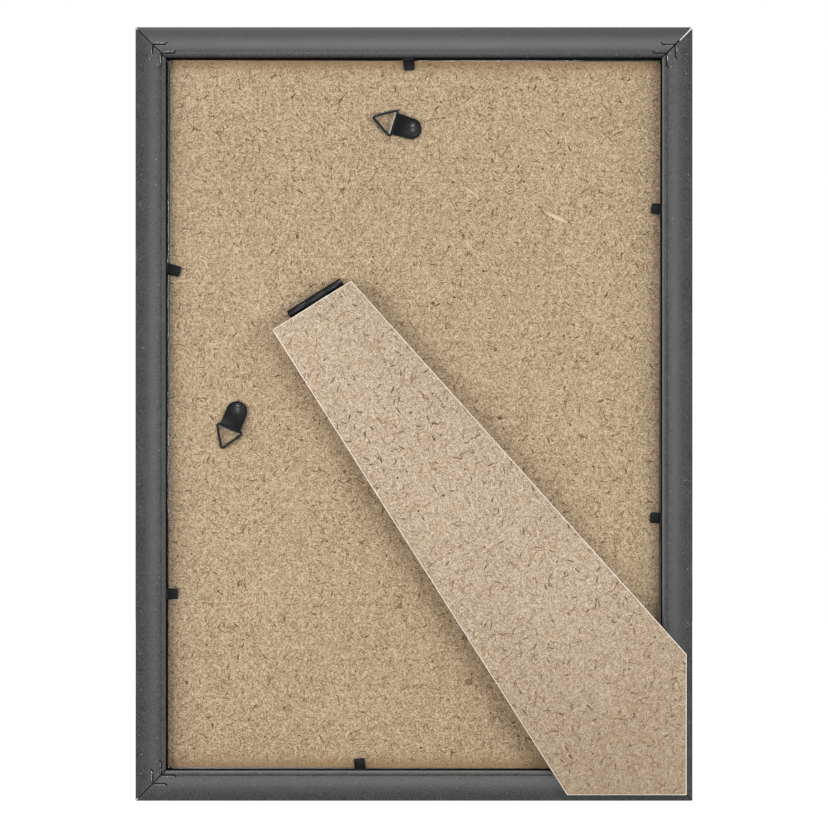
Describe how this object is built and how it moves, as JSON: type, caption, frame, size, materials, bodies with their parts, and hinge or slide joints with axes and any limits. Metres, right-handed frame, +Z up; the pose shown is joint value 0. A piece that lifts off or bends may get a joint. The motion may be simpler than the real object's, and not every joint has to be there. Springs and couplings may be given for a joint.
{
  "type": "picture frame",
  "caption": "Upright picture frame with a mitred grey moulding, a hardboard back held in by bending tabs, riveted wire hangers and a hinged easel strut that folds flat.",
  "frame": {"origin": "middle of the floor area under the frame as it stands upright with its strut folded", "axes": "+Z up, the picture faces -Y and the back with the strut faces +Y, +X is left as seen from behind"},
  "size_m": [0.2366, 0.0182, 0.3286],
  "materials": {
    "moulding": "matte grey foil over a wood moulding",
    "bare_steel": "bare cut steel strip",
    "glass": "clear flat glass",
    "paper": "blank uncoated paper",
    "hardboard": "bare pressed fibre hardboard",
    "strut_hardboard": "bare pressed fibre hardboard, paler",
    "black_steel": "semi-gloss black"
  },
  "bodies": {
    "frame": {"rail_top": "moulding", "rail_bottom": "moulding", "rail_left": "moulding", "rail_right": "moulding", "v_nail_top_left_outer": "bare_steel", "v_nail_top_left_inner": "bare_steel", "v_nail_top_right_outer": "bare_steel", "v_nail_top_right_inner": "bare_steel", "v_nail_bottom_left_outer": "bare_steel", "v_nail_bottom_left_inner": "bare_steel", "v_nail_bottom_right_outer": "bare_steel", "v_nail_bottom_right_inner": "bare_steel", "glass": "glass", "picture_sheet": "paper", "backing_board": "hardboard", "tab_root_top": "black_steel", "tab_root_right_upper": "black_steel", "tab_root_right_lower": "black_steel", "tab_root_left_upper": "black_steel", "tab_root_left_lower": "black_steel", "tab_root_bottom": "black_steel", "hanger_top_rivet": "black_steel", "hanger_left_rivet": "black_steel", "hinge_board_leaf": "black_steel", "hinge_pin": "black_steel", "board_leaf_rivet_1": "black_steel", "board_leaf_rivet_2": "black_steel"},
    "easel_strut": {"strut": "strut_hardboard", "hinge_strut_leaf": "black_steel", "strut_leaf_rivet_1": "black_steel", "strut_leaf_rivet_2": "black_steel"},
    "top_strap": {"hanger_top_strap": "black_steel"},
    "top_ring": {"hanger_top_ring": "black_steel"},
    "left_strap": {"hanger_left_strap": "black_steel"},
    "left_ring": {"hanger_left_ring": "black_steel"},
    "top_tab": {"tab_top": "black_steel"},
    "right_upper_tab": {"tab_right_upper": "black_steel"},
    "right_lower_tab": {"tab_right_lower": "black_steel"},
    "left_upper_tab": {"tab_left_upper": "black_steel"},
    "left_lower_tab": {"tab_left_lower": "black_steel"},
    "bottom_tab": {"tab_bottom": "black_steel"}
  },
  "joints": [
    {"name": "strut_hinge", "type": "hinge", "parent": "frame", "child": "easel_strut", "pos_m": [0.0419, 0.00385, 0.2134], "axis": [0.848, 0, -0.5299], "range_deg": [0, 18]},
    {"name": "top_strap_swivel", "type": "hinge", "parent": "frame", "child": "top_strap", "pos_m": [0.0004, 0.00585, 0.2854], "axis": [0, 1, 0], "continuous": true},
    {"name": "top_ring_swing", "type": "hinge", "parent": "top_strap", "child": "top_ring", "pos_m": [0.00834, 0.00298, 0.28783], "axis": [-0.2924, 0, 0.9563], "range_deg": [0, 150]},
    {"name": "left_strap_swivel", "type": "hinge", "parent": "frame", "child": "left_strap", "pos_m": [0.0751, 0.00585, 0.1661], "axis": [0, 1, 0], "continuous": true},
    {"name": "left_ring_swing", "type": "hinge", "parent": "left_strap", "child": "left_ring", "pos_m": [0.07825, 0.00298, 0.15842], "axis": [0.9252, 0, 0.3795], "range_deg": [0, 150]},
    {"name": "top_tab_bend", "type": "hinge", "parent": "frame", "child": "top_tab", "pos_m": [0.00235, 0.00245, 0.3152], "axis": [0.9962, 0, -0.0872], "range_deg": [0, 80]},
    {"name": "right_upper_tab_bend", "type": "hinge", "parent": "frame", "child": "right_upper_tab", "pos_m": [-0.1049, 0.00245, 0.25137], "axis": [-0.1132, 0, 0.9936], "range_deg": [0, 80]},
    {"name": "right_lower_tab_bend", "type": "hinge", "parent": "frame", "child": "right_lower_tab", "pos_m": [-0.1049, 0.00245, 0.11995], "axis": [-0.0785, 0, 0.9969], "range_deg": [0, 80]},
    {"name": "left_upper_tab_bend", "type": "hinge", "parent": "frame", "child": "left_upper_tab", "pos_m": [0.10492, 0.00245, 0.22615], "axis": [0.2419, 0, -0.9703], "range_deg": [0, 80]},
    {"name": "left_lower_tab_bend", "type": "hinge", "parent": "frame", "child": "left_lower_tab", "pos_m": [0.1049, 0.00245, 0.0878], "axis": [0, 0, -1], "range_deg": [0, 80]},
    {"name": "bottom_tab_bend", "type": "hinge", "parent": "frame", "child": "bottom_tab", "pos_m": [0.02295, 0.00245, 0.0134], "axis": [-0.9962, 0, 0.0872], "range_deg": [0, 80]}
  ]
}
